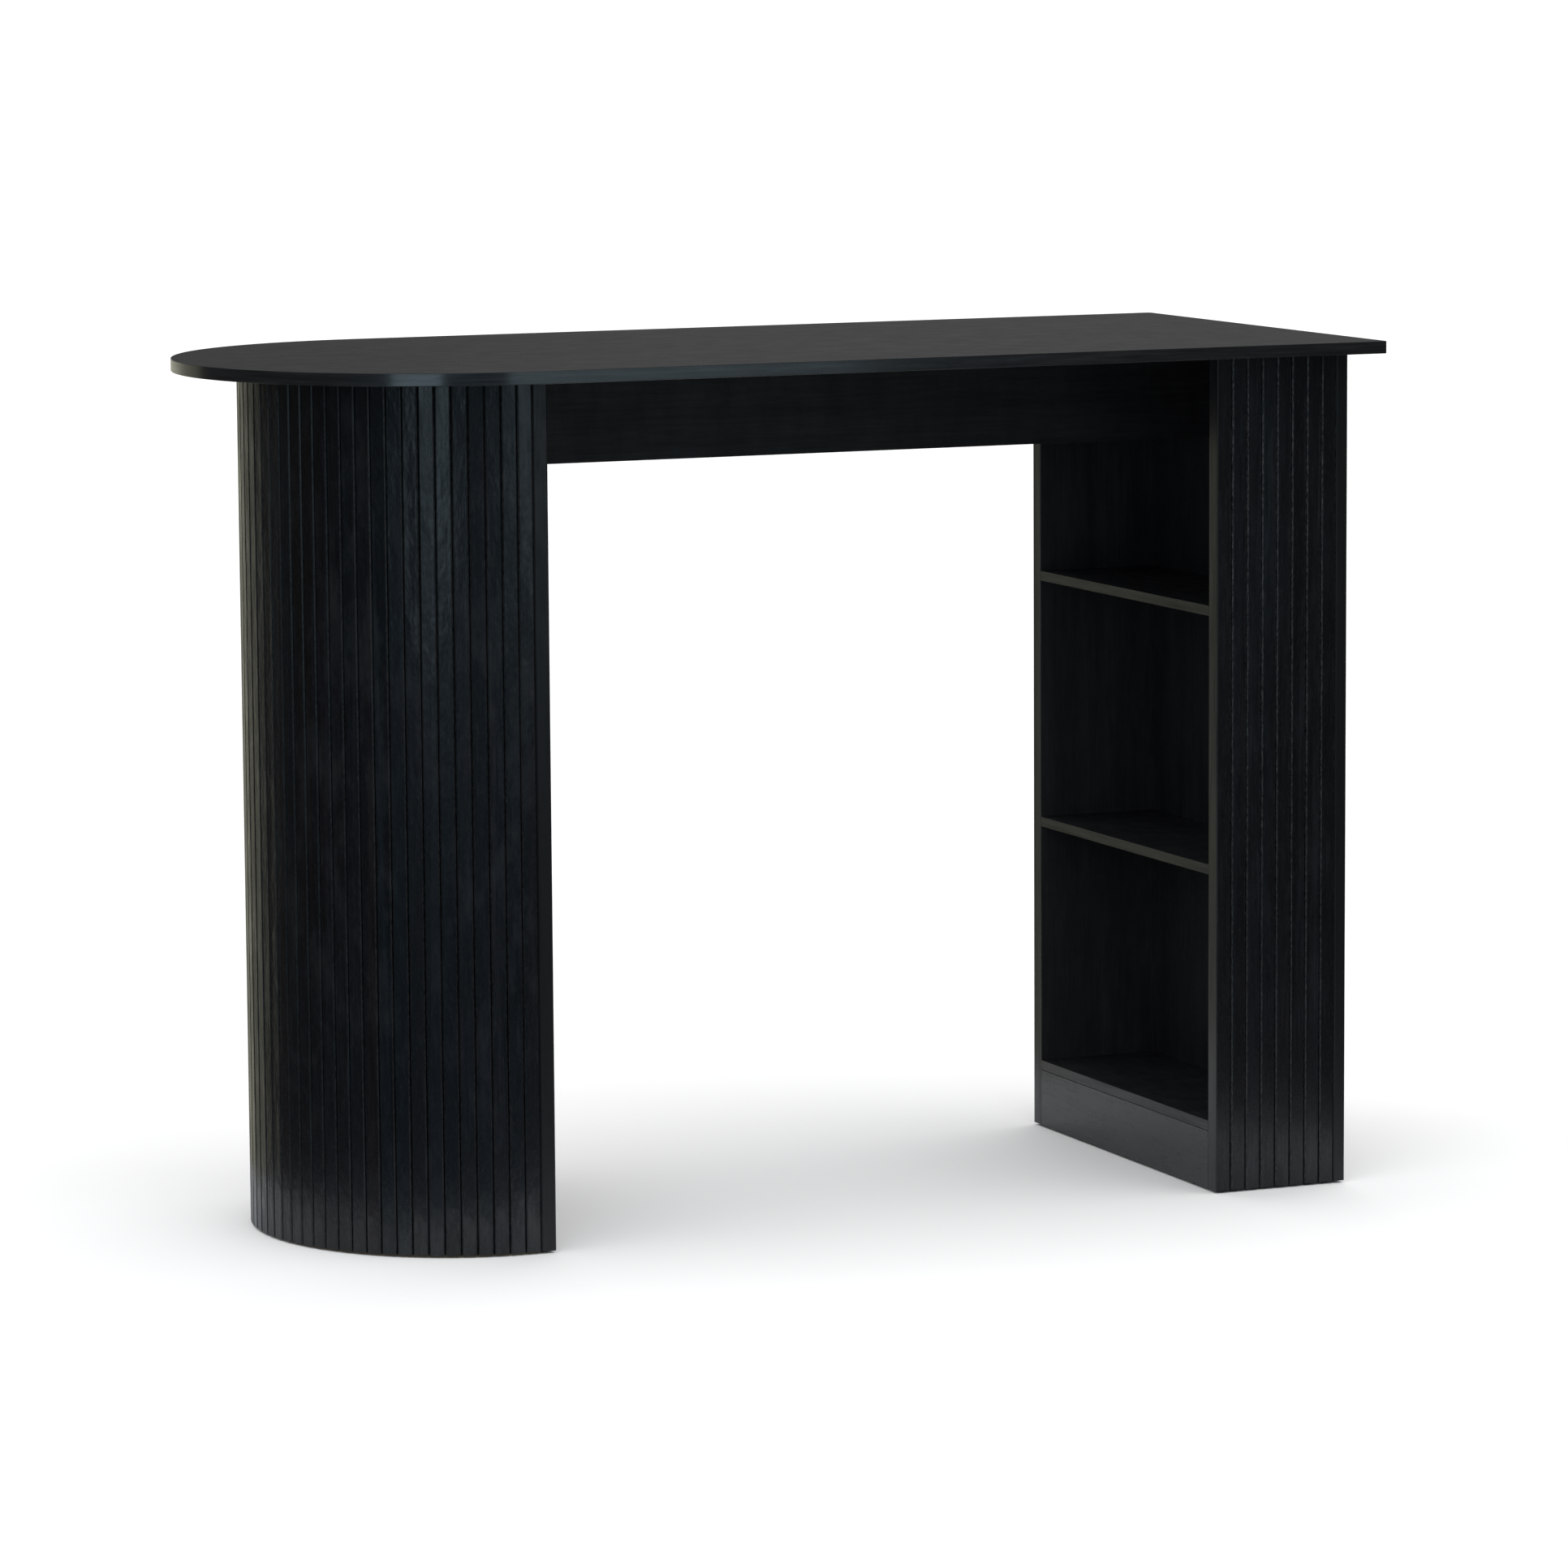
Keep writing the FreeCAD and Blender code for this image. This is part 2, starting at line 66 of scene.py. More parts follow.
# How patterns are turned and stretched: the smoky patches drift slantwise over the lacquer.
CLOUD_SLANT = (0.0, 0.5, 0.0)
CLOUD_STRETCH = (1.0, 1.0, 0.4)
FLECK_STRETCH = (1.0, 1.0, 0.14)
SPECK_STRETCH = (1.0, 1.0, 0.3)
# Pores follow the grain, but are shorter: the share of their length that isn't stretched.
PORE_SHARE = 0.25

# Limits between which a value goes over from one look to the other.
STREAK_LIMITS = (0.32, 0.7)
GRAIN_LIMITS = (0.3, 0.7)
CLOUD_LIMITS = (0.32, 0.68)
FINE_LIMITS = (0.35, 0.65)
DUST_AND_SHEEN_LIMITS = (0.5, 0.7)
FLECK_LIMITS = (0.56, 0.72)
SPECK_LIMITS = (0.44, 0.64)
CHANCE_LIMITS = (0.0, 1.0)
# The same for how far a surface faces outward, sideways or along its neighbour.
CHAMFER_LIMITS = (0.97, 0.85)
OUTSIDE_LIMITS = (0.2, 0.4)
NARROW_EDGE_LIMITS = (0.5, 0.7)
ROUNDED_LIMITS = (0.995, 0.8)

# Lacquer: tone of the broad grain, gloss of the fine grain, share of streaks against pores.
BROAD_TONE = (0.75, 1.25)
FINE_GLOSS = (0.06, -0.06)
GLOSS_STREAKS = 0.6
RELIEF_STREAKS = 0.7

# Linear colours, dark and light, of the black-stained wood.
TOP_COLOURS = ((0.014, 0.0145, 0.0152, 1.0), (0.0205, 0.0212, 0.0222, 1.0))
RAIL_COLOURS = ((0.0155, 0.016, 0.0167, 1.0), (0.027, 0.0278, 0.0288, 1.0))
BOARD_COLOURS = ((0.0205, 0.0216, 0.023, 1.0), (0.034, 0.0355, 0.0373, 1.0))
SHELF_COLOURS = ((0.02, 0.0213, 0.0232, 1.0), (0.039, 0.0412, 0.0442, 1.0))
SLAT_COLOURS = ((0.0032, 0.0036, 0.0043, 1.0), (0.0145, 0.0153, 0.017, 1.0))
BAND_COLOURS = ((0.0085, 0.0093, 0.0106, 1.0), (0.029, 0.031, 0.034, 1.0))

# Finishes: colours, roughness where glossy and where dull, strength and depth of the relief,
# how far the smoky patches darken and lighten the colour, and shine.
Finish = namedtuple("Finish", "colours gloss relief smoke shine")
TOP_FINISH = Finish(TOP_COLOURS, (0.3, 0.36), (0.08, 0.0004), 0.1, 0.5)
RAIL_FINISH = Finish(RAIL_COLOURS, (0.44, 0.58), (0.25, 0.0004), 0.25, 0.35)
UPRIGHT_FINISH = Finish(BOARD_COLOURS, (0.34, 0.5), (0.25, 0.0004), 0.25, 0.5)
END_FINISH = Finish(BOARD_COLOURS, (0.3, 0.48), (0.25, 0.0004), 0.25, 0.5)
SHELF_FINISH = Finish(SHELF_COLOURS, (0.34, 0.46), (0.25, 0.0004), 0.25, 0.5)
KICK_FINISH = Finish(BOARD_COLOURS, (0.22, 0.27), (0.12, 0.0004), 0.25, 0.5)
TOP_BAND_FINISH = Finish(BAND_COLOURS, (0.1, 0.3), (0.3, 0.0004), 0.45, 0.5)
BAND_FINISH = Finish(BAND_COLOURS, (0.28, 0.42), (0.3, 0.0004), 0.45, 0.5)
SLAT_FINISH = Finish(SLAT_COLOURS, (0.17, 0.35), (0.3, 0.0005), 0.5, 0.5)

# Clear coat on the edge band of the top, and the darker narrow edges of the end boards.
TOP_BAND_COAT = 0.6
COAT_ROUGHNESS = 0.12
EDGE_SHADE = (0.4, 0.4, 0.42, 1.0)

# Rubbed edges of boards and bands, lightened also as a painted highlight line: colour, share,
# width and samples.
RUBBED_EDGE_AND_HIGHLIGHT = (0.056, 0.057, 0.057, 1.0)
WEAR_AND_HIGHLIGHT_SHARE = 0.5
WEAR_AND_HIGHLIGHT_WIDTH = 0.0012
WEAR_AND_HIGHLIGHT_SAMPLES = 4

# Slats: each has its own tone, hue between cool and warm, and slight turn.
SLAT_TONE = (0.7, 1.35)
SLAT_COOL = (0.7, 1.05, 1.35, 1.0)
SLAT_WARM = (1.2, 0.96, 1.04, 1.0)
SLAT_TURN = 0.03
# Pale dust colour, which also paints in the lacquer's hazy sheen.
DUST_AND_SHEEN = (0.032, 0.0342, 0.036, 1.0)
FLECK = (0.05, 0.052, 0.054, 1.0)
FLECK_SHARE = 0.3
# Rubbed chamfers of the slats: their roughness, and the heights over which their lightening
# fades out downwards, a painted fall-off of light that keeps them brighter up high.
RUBBED_GLOSS = 0.38
HIGHLIGHT_FADE_HEIGHTS = (0.4, 0.85)
# Colour of the rubbed chamfers and their painted highlight line, share of dust and painted hazy
# sheen and of hue, depth of the waves that break up the reflections, and share of the chamfers'
# painted highlight that is left near the floor.
SlatLook = namedtuple("SlatLook", "rubbed dust hue waves low_wear")
DRUM_LOOK = SlatLook((0.038, 0.039, 0.04, 1.0), 0.7, 1.0, 0.0014, 0.9)
SIDE_LOOK = SlatLook((0.115, 0.116, 0.117, 1.0), 0.12, 0.45, 0.0004, 0.6)

# Raw wood inside, and the black stain over the drum's shell: linear colours, roughness, relief.
BEECH_COLOURS = ((0.42, 0.26, 0.13, 1.0), (0.62, 0.43, 0.25, 1.0))
PLY_COLOURS = ((0.3, 0.19, 0.1, 1.0), (0.52, 0.37, 0.22, 1.0))
STAIN_COLOURS = ((0.003, 0.003, 0.0034, 1.0), (0.007, 0.007, 0.0078, 1.0))
RAW_ROUGHNESS = (0.62, 0.8)
SHELL_ROUGHNESS = (0.65, 0.8)
RAW_RELIEF = (0.3, 0.0005)
RAW_STREAKS = 0.55

# Zinc-plated steel and black plastic: linear colours, roughness, relief.
ZINC_COLOURS = ((0.5, 0.51, 0.53, 1.0), (0.68, 0.69, 0.7, 1.0))
ZINC_ROUGHNESS = (0.26, 0.42)
ZINC_RELIEF = (0.1, 0.0002)
PLASTIC_COLOURS = ((0.012, 0.012, 0.0125, 1.0), (0.022, 0.022, 0.023, 1.0))
PLASTIC_ROUGHNESS = (0.42, 0.56)
PLASTIC_RELIEF = (0.25, 0.0002)

UPWARD = (0.0, 0.0, 1.0)
FRONTWARD = (0.0, -1.0, 0.0)
BACKWARD = (0.0, 1.0, 0.0)
LEVEL = (1.0, 1.0, 0.0)


class Graph:
    """Node tree with short helpers for building it."""

    def __init__(self, tree):
        self.tree = tree

    def add(self, kind, inputs=None, **settings):
        node = self.tree.nodes.new(kind)
        for key, value in settings.items():
            setattr(node, key, value)
        for key, value in (inputs or {}).items():
            self.give(node.inputs[key], value)
        return node

    def give(self, socket, value):
        if isinstance(value, bpy.types.NodeSocket):
            self.tree.links.new(value, socket)
        else:
            socket.default_value = value

    def place(self):
        return self.add("ShaderNodeTexCoord").outputs["Object"]

    def normal(self):
        return self.add("ShaderNodeNewGeometry").outputs["Normal"]

    def stretched(self, vector, scale):
        inputs = {"Vector": vector, "Scale": scale}
        return self.add("ShaderNodeMapping", inputs).outputs["Vector"]

    def noise(self, vector, pattern):
        inputs = {"Vector": vector, "Scale": pattern.scale}
        inputs.update({"Detail": pattern.detail, "Roughness": pattern.roughness})
        return self.add("ShaderNodeTexNoise", inputs).outputs["Fac"]

    def span(self, value, limits, results=(0.0, 1.0)):
        inputs = {"Value": value, "From Min": limits[0], "From Max": limits[1]}
        inputs.update({"To Min": results[0], "To Max": results[1]})
        return self.add("ShaderNodeMapRange", inputs).outputs["Result"]

    def math(self, operation, first, second):
        node = self.add("ShaderNodeMath", {0: first, 1: second}, operation=operation)
        return node.outputs["Value"]

    def times(self, first, second):
        return self.math("MULTIPLY", first, second)

    def shared(self, first, second, share):
        """Sum of two values, with a share of the first and the rest of the second."""
        return self.math("ADD", self.times(first, share), self.times(second, 1.0 - share))

    def vector_math(self, operation, first, second, output="Vector"):
        inputs = {0: first, 1: second}
        return self.add("ShaderNodeVectorMath", inputs, operation=operation).outputs[output]

    def dot(self, first, second):
        return self.vector_math("DOT_PRODUCT", first, second, "Value")

    def scaled(self, vector, factor):
        inputs = {0: vector, "Scale": factor}
        return self.add("ShaderNodeVectorMath", inputs, operation="SCALE").outputs["Vector"]

    def unit(self, vector):
        node = self.add("ShaderNodeVectorMath", {0: vector}, operation="NORMALIZE")
        return node.outputs["Vector"]

    def part(self, vector, axis):
        return self.add("ShaderNodeSeparateXYZ", {0: vector}).outputs[axis]

    def blend(self, factor, first, second, mode="MIX"):
        inputs = {0: factor, 6: first, 7: second}
        node = self.add("ShaderNodeMix", inputs, data_type="RGBA", blend_type=mode)
        return node.outputs[2]

    def between(self, factor, first, second):
        node = self.add("ShaderNodeMix", {0: factor, 2: first, 3: second}, data_type="FLOAT")
        return node.outputs[0]

    def bump(self, height, relief, normal=None):
        strength, distance = relief
        inputs = {"Height": height, "Strength": strength, "Distance": distance}
        if normal is not None:
            inputs["Normal"] = normal
        return self.add("ShaderNodeBump", inputs).outputs["Normal"]

    def grey(self, value):
        return self.add("ShaderNodeCombineColor", {0: value, 1: value, 2: value}).outputs["Color"]


class Shader(Graph):
    """One procedural material with a principled surface."""

    def __init__(self, name):
        self.material = bpy.data.materials.new(name)
        self.material.use_nodes = True
        super().__init__(self.material.node_tree)
        self.surface = self.tree.nodes["Principled BSDF"]

    def set(self, **values):
        for key, value in values.items():
            self.give(self.surface.inputs[key.replace("_", " ")], value)


def grain(shader, vector, direction, pattern=FINE_GRAIN):
    """Long wood streaks along one direction."""
    return shader.noise(shader.stretched(vector, direction), pattern)


def cloudiness(shader, vector):
    """Smoky patches that drift slantwise over the lacquer."""
    inputs = {"Vector": vector, "Rotation": CLOUD_SLANT, "Scale": CLOUD_STRETCH}
    return shader.noise(shader.add("ShaderNodeMapping", inputs).outputs["Vector"], CLOUDS)


def rubbed_and_highlit_edges(shader, colour):
    """Lightens the outer edges, where the lacquer is rubbed thin and as a painted highlight line
    where the edges would catch light.
    """
    bevel = shader.add("ShaderNodeBevel", {"Radius": WEAR_AND_HIGHLIGHT_WIDTH}, samples=WEAR_AND_HIGHLIGHT_SAMPLES)
    turned = shader.dot(shader.normal(), bevel.outputs["Normal"])
    wear_and_highlight = shader.span(turned, ROUNDED_LIMITS)
    # Pale edge colour: rubbed lacquer and a painted highlight line.
    return shader.blend(shader.times(wear_and_highlight, WEAR_AND_HIGHLIGHT_SHARE), colour, RUBBED_EDGE_AND_HIGHLIGHT)


def lacquered_wood(shader, vector, direction, finish, clouds, tone=None):
    """Black-stained wood under uneven satin lacquer: colour, roughness and height of the relief."""
    dark, light = finish.colours
    glossy, dull = finish.gloss
    streaks = grain(shader, vector, direction)
    broad = grain(shader, vector, direction, BROAD_GRAIN)
    pore_stretch = tuple(PORE_SHARE + (1.0 - PORE_SHARE) * scale for scale in direction)
    pores = shader.noise(shader.stretched(vector, pore_stretch), PORES)
    colour = shader.blend(shader.span(streaks, STREAK_LIMITS), dark, light)
    smoke = shader.span(clouds, CLOUD_LIMITS, (1.0 - finish.smoke, 1.0 + finish.smoke))
    depth = shader.times(shader.span(broad, GRAIN_LIMITS, BROAD_TONE), smoke)
    if tone is not None:
        depth = shader.times(depth, tone)
    colour = shader.blend(1.0, colour, shader.grey(depth), "MULTIPLY")
    cloudy = shader.span(clouds, CLOUD_LIMITS, (dull, glossy))
    fine = shader.shared(streaks, pores, GLOSS_STREAKS)
    rough = shader.math("ADD", cloudy, shader.span(fine, FINE_LIMITS, FINE_GLOSS))
    height = shader.shared(streaks, pores, RELIEF_STREAKS)
    return colour, rough, height


def board_material(name, direction, finish):
    """Board in black wood grain with lightly rubbed edges, lightened also as a painted highlight
    line.
    """
    shader = Shader(name)
    place = shader.place()
    clouds = cloudiness(shader, place)
    colour, rough, height = lacquered_wood(shader, place, direction, finish, clouds)
    # Edges lightened: rubbed lacquer and a painted highlight line.
    colour = rubbed_and_highlit_edges(shader, colour)
    shader.set(Base_Color=colour, Roughness=rough, Normal=shader.bump(height, finish.relief))
    shader.set(Specular_IOR_Level=finish.shine)
    return shader.material


def edged_board_material(name, direction, finish):
    """Upright board whose narrow front and back edges are lacquered as dark as the slats."""
    shader = Shader(name)
    place = shader.place()
    clouds = cloudiness(shader, place)
    colour, rough, height = lacquered_wood(shader, place, direction, finish, clouds)
    sideways = shader.math("ABSOLUTE", shader.part(shader.normal(), "Y"), 0.0)
    shaded = shader.blend(1.0, colour, EDGE_SHADE, "MULTIPLY")
    colour = shader.blend(shader.span(sideways, NARROW_EDGE_LIMITS), colour, shaded)
    shader.set(Base_Color=colour, Roughness=rough, Normal=shader.bump(height, finish.relief))
    shader.set(Specular_IOR_Level=finish.shine)
    return shader.material


def slat_material(name, outward_of, look):
    """Slats with their own tone, hue and slight turn, dust that also paints a hazy sheen, flecks,
    and rubbed chamfers that also carry a painted highlight line fading towards the floor.
    """
    shader = Shader(name)
    place = shader.place()
    geometry = shader.add("ShaderNodeNewGeometry").outputs
    island = {"W": geometry["Random Per Island"]}
    chance = shader.add("ShaderNodeTexWhiteNoise", island, noise_dimensions="1D").outputs["Color"]
    own_tone, own_hue, own_turn = shader.add("ShaderNodeSeparateColor", {0: chance}).outputs
    own_place = shader.vector_math("ADD", place, chance)

    tone = shader.span(own_tone, CHANCE_LIMITS, SLAT_TONE)
    clouds = cloudiness(shader, place)
    wood = lacquered_wood(shader, own_place, ALONG_Z, SLAT_FINISH, clouds, tone)
    colour, rough, height = wood
    hue = shader.blend(own_hue, SLAT_COOL, SLAT_WARM)
    colour = shader.blend(look.hue, colour, hue, "MULTIPLY")
    # Pale dust in the cloudy patches, which also paints in the lacquer's hazy sheen.
    colour = shader.blend(shader.span(clouds, DUST_AND_SHEEN_LIMITS, (0.0, look.dust)), colour, DUST_AND_SHEEN)
    flecks = shader.noise(shader.stretched(own_place, FLECK_STRETCH), FLECKS)
    colour = shader.blend(shader.span(flecks, FLECK_LIMITS, (0.0, FLECK_SHARE)), colour, FLECK)

    # Chamfers lightened: rubbed lacquer and a painted highlight line, dotted by specks and faded
    # towards the floor as a painted fall-off of light.
    outward = outward_of(shader, place)
    chamfer = shader.span(shader.dot(geometry["Normal"], outward), CHAMFER_LIMITS)
    specks = shader.noise(shader.stretched(own_place, SPECK_STRETCH), SPECKS)
    painted_light_fade = shader.span(shader.part(place, "Z"), HIGHLIGHT_FADE_HEIGHTS, (look.low_wear, 1.0))
    wear_and_highlight = shader.times(shader.times(chamfer, painted_light_fade), shader.span(specks, SPECK_LIMITS))
    colour = shader.blend(wear_and_highlight, colour, look.rubbed)
    rough = shader.between(chamfer, rough, RUBBED_GLOSS)

    across = shader.vector_math("CROSS_PRODUCT", UPWARD, outward)
    lean = shader.scaled(across, shader.span(own_turn, CHANCE_LIMITS, (-SLAT_TURN, SLAT_TURN)))
    turned = shader.unit(shader.vector_math("ADD", geometry["Normal"], lean))
    waves = shader.noise(shader.stretched(own_place, CLOUD_STRETCH), WAVES)
    wavy = shader.bump(waves, (1.0, look.waves), turned)
    normal = shader.bump(height, SLAT_FINISH.relief, wavy)
    shader.set(Base_Color=colour, Roughness=rough, Normal=normal)
    shader.set(Specular_IOR_Level=SLAT_FINISH.shine)
    return shader.material


def drum_outward(shader, place):
    """Level direction from the drum's axis to a place on it."""
    from_axis = shader.vector_math("SUBTRACT", place, tuple(DRUM_AXIS))
    return shader.unit(shader.vector_math("MULTIPLY", from_axis, LEVEL))


def front_outward(shader, place):
    """Direction out of the shelf unit's front, the same everywhere."""
    return FRONTWARD


def back_outward(shader, place):
    """Direction out of the shelf unit's back, the same everywhere."""
    return BACKWARD


def band_material(name, direction, finish, coat=0.0):
    """Edge band: streaky foil with a harder gloss than the boards."""
    shader = Shader(name)
    place = shader.place()
    clouds = grain(shader, place, direction, BAND_GRAIN)
    colour, rough, height = lacquered_wood(shader, place, direction, finish, clouds)
    # Edges lightened: rubbed lacquer and a painted highlight line.
    colour = rubbed_and_highlit_edges(shader, colour)
    shader.set(Base_Color=colour, Roughness=rough, Normal=shader.bump(height, finish.relief))
    shader.set(Specular_IOR_Level=finish.shine)
    shader.set(Coat_Weight=coat, Coat_Roughness=COAT_ROUGHNESS)
    return shader.material


def shell_material(name):
    """Bent plywood stained black on the outside, so the grooves between the slats stay dark."""
    shader = Shader(name)
    place = shader.place()
    streaks = grain(shader, place, ALONG_Z, RAW_GRAIN)
    raw = shader.blend(shader.span(streaks, GRAIN_LIMITS), *PLY_COLOURS)
    stain = shader.blend(shader.span(streaks, GRAIN_LIMITS), *STAIN_COLOURS)
    facing = shader.dot(shader.normal(), drum_outward(shader, place))
    colour = shader.blend(shader.span(facing, OUTSIDE_LIMITS), raw, stain)
    rough = shader.span(streaks, GRAIN_LIMITS, SHELL_ROUGHNESS)
    shader.set(Base_Color=colour, Roughness=rough, Normal=shader.bump(streaks, RAW_RELIEF))
    return shader.material


def raw_wood_material(name, direction, colours):
    """Bare wood with fine streaks and broad rings."""
    shader = Shader(name)
    place = shader.place()
    streaks = grain(shader, place, direction, RAW_GRAIN)
    rings = grain(shader, place, direction, RING_GRAIN)
    figure = shader.shared(streaks, rings, RAW_STREAKS)
    colour = shader.blend(shader.span(figure, GRAIN_LIMITS), *colours)
    rough = shader.span(streaks, GRAIN_LIMITS, RAW_ROUGHNESS)
    shader.set(Base_Color=colour, Roughness=rough, Normal=shader.bump(figure, RAW_RELIEF))
    return shader.material


def zinc_material(name):
    """Zinc-plated steel: faint spangle and brushed gloss."""
    shader = Shader(name)
    place = shader.place()
    spangle = shader.noise(place, SPANGLE)
    brushed = grain(shader, place, ALONG_X, BRUSHED_GRAIN)
    colour = shader.blend(shader.span(spangle, FINE_LIMITS), *ZINC_COLOURS)
    rough = shader.span(brushed, GRAIN_LIMITS, ZINC_ROUGHNESS)
    shader.set(Base_Color=colour, Roughness=rough, Normal=shader.bump(brushed, ZINC_RELIEF))
    shader.set(Metallic=1.0)
    return shader.material


def plastic_material(name):
    """Matt black plastic with a fine skin."""
    shader = Shader(name)
    place = shader.place()
    skin = shader.noise(place, PLASTIC_SKIN)
    patches = shader.noise(place, PLASTIC_PATCHES)
    colour = shader.blend(patches, *PLASTIC_COLOURS)
    rough = shader.span(patches, GRAIN_LIMITS, PLASTIC_ROUGHNESS)
    shader.set(Base_Color=colour, Roughness=rough, Normal=shader.bump(skin, PLASTIC_RELIEF))
    return shader.material


def dress(material, *names):
    """Gives CAD nodes their material."""
    for name in names:
        mesh = nodes[name].data
        mesh.materials.clear()
        mesh.materials.append(material)


def dress_boards():
    dress(board_material("top_laminate", ALONG_X, TOP_FINISH), "top_panel")
    dress(board_material("rail_board", ALONG_X, RAIL_FINISH), "apron_rail")
    uprights = board_material("upright_board", ALONG_Z, UPRIGHT_FINISH)
    dress(uprights, "unit_front_panel", "unit_back_panel")
    ends = edged_board_material("end_board", ALONG_Z, END_FINISH)
    dress(ends, "drum_inner_panel", "unit_end_panel")
    shelves = board_material("shelf_board", ALONG_Y, SHELF_FINISH)
    dress(shelves, "unit_bottom_shelf", "unit_lower_shelf", "unit_upper_shelf")
    dress(board_material("kick_board", ALONG_Y, KICK_FINISH), "unit_kick_plate")


def dress_bands():
    top_band = band_material("top_band", ALONG_EDGE, TOP_BAND_FINISH, TOP_BAND_COAT)
    dress(top_band, "top_edge_band")
    side_bands = band_material("side_band", ALONG_Z, BAND_FINISH)
    dress(side_bands, "unit_front_edge_band", "unit_back_edge_band")
    dress(band_material("shelf_band", ALONG_Y, BAND_FINISH), "shelf_edge_bands")


def dress_slats():
    dress(slat_material("drum_slat", drum_outward, DRUM_LOOK), "drum_slats")
    dress(slat_material("front_slat", front_outward, SIDE_LOOK), "unit_front_slats")
    dress(slat_material("back_slat", back_outward, SIDE_LOOK), "unit_back_slats")


def dress_hidden_pieces():
    dress(shell_material("plywood_shell"), "drum_shell")
    battens = raw_wood_material("plywood", ALONG_Z, PLY_COLOURS)
    dress(battens, "drum_front_batten", "drum_back_batten")
    plates = raw_wood_material("plywood_plate", ALONG_Y, PLY_COLOURS)
    dress(plates, "drum_top_plate", "drum_upper_rib", "drum_lower_rib", "drum_base_plate")
    beech = raw_wood_material("beech", ALONG_X, BEECH_COLOURS)
    dress(beech, "top_dowels", "apron_dowels", "drum_dowels")
    dress(beech, "shelf_dowels", "end_panel_dowels", "kick_plate_dowels")
    zinc = zinc_material("zinc_steel")
    dress(zinc, "apron_brackets", "bracket_screws", "cam_bolts", "cam_housings", "glide_nails")
    dress(plastic_material("black_plastic"), "cam_caps", "drum_glides", "unit_glides")


# Floor: grey level and its mottle, and the colour that reflections show.
FLOOR_GREY = 0.93
FLOOR_MOTTLING = 0.006
MIRRORED_FLOOR = (0.64, 0.665, 0.69, 1.0)
# The near floor is an oval round the table: its middle and half sizes. The far floor goes on
# from it.
NEAR_FLOOR_MIDDLE = (0.1, 0.0)
NEAR_FLOOR = (0.98, 0.62)
FAR_FLOOR = (400.0, 400.0)
FLOOR_SIDES = 96
# In front of the shelf unit the oval bulges out: turn and spread in degrees, and share.
BULGE_TURN = 298.0
BULGE_SPREAD = 25.0
BULGE = 0.24

# Wide light from above, on everything and on the floor alone: strength, spread and height.
TABLE_SKY = 1.1
FLOOR_SKY = 2.2
SKY_SPREAD = 150.0
SKY_HEIGHT = 5.0

# What the eye sees behind the floor, and the dim room that only reflections show.
BACKDROP = (0.93, 0.93, 0.93, 1.0)
ROOM_DARK = (0.055, 0.055, 0.055, 1.0)
ROOM_BACK_LOW = (0.315, 0.315, 0.253, 1.0)
ROOM_GLOW = (0.5, 0.5, 0.4, 1.0)
ROOM_BACK_LEFT = (0.125, 0.125, 0.125, 1.0)
ROOM_BACK_RIGHT = (0.175, 0.175, 0.175, 1.0)
ROOM_FRONT = (0.07, 0.105, 0.132, 1.0)
ROOM_CEILING = (0.3, 0.3, 0.3, 1.0)
# Directions of the room's parts in degrees, and the limits between which each fades in.
ROOM_BACK_TURN = 195.0
ROOM_GLOW_TURN = 182.0
ROOM_FRONT_TURN = 20.0
BACK_LIMITS = (0.6, 0.67)
GLOW_LIMITS = (0.93, 0.985)
FRONT_LIMITS = (0.7, 0.97)
RIGHT_LIMITS = (0.33, 0.37)
HORIZON_LIMITS = (-0.06, 0.04)
CEILING_LIMITS = (0.35, 0.9)

# Softboxes round the drum: name, turn in degrees, distance, size, brightness.
SOFTBOXES = (
    ("softbox_left", 31.0, 2.3, (0.8, 1.0), 1.12),
    ("softbox_right", -17.0, 2.3, (1.0, 1.0), 0.66),
)
SOFTBOX_COLOUR = (0.66, 0.88, 1.0)
SOFTBOX_HEIGHT = 1.08
SOFTBOX_AIM = 0.8
# Pale card low in front that lifts the open bays and the rail.
FILL_PLACE = Vector((-0.15, -1.2, 0.5))
FILL_TARGET = Vector((0.5, 0.1, 0.6))
FILL_SIZE = (0.9, 0.7)
FILL_BRIGHTNESS = 0.78
FILL_COLOUR = (1.0, 0.97, 0.93)


def floor_material():
    """Pale matt floor that looks greyer in reflections, like a floor lit only round the table."""
    shader = Shader("studio_floor")
    mottle = shader.noise(shader.place(), FLOOR_MOTTLE)
    greys = (FLOOR_GREY - FLOOR_MOTTLING, FLOOR_GREY + FLOOR_MOTTLING)
    level = shader.span(mottle, GRAIN_LIMITS, greys)
    mirrored = shader.add("ShaderNodeLightPath").outputs["Is Glossy Ray"]
    shader.set(Base_Color=shader.blend(mirrored, shader.grey(level), MIRRORED_FLOOR))
    shader.set(Roughness=1.0, Specular_IOR_Level=0.0)
    return shader.material


def oval_points(half_sizes):
    """Points of an oval on the floor, with a bulge in front of the shelf unit."""
    middle_x, middle_y = NEAR_FLOOR_MIDDLE
    half_x, half_y = half_sizes
    points = []
    for index in range(FLOOR_SIDES):
        degrees = 360.0 * index / FLOOR_SIDES
        reach = 1.0 + BULGE * math.exp(-((degrees - BULGE_TURN) / BULGE_SPREAD) ** 2)
        turn = math.radians(degrees)
        x = middle_x + reach * half_x * math.cos(turn)
        y = middle_y + reach * half_y * math.sin(turn)
        points.append((x, y, 0.0))
    return points


def floor_piece(name, points, faces, material):
    mesh = bpy.data.meshes.new(name)
    mesh.from_pydata(points, [], faces)
    mesh.materials.append(material)
    piece = bpy.data.objects.new(name, mesh)
    bpy.context.scene.collection.objects.link(piece)
    piece.visible_diffuse = False
    return piece


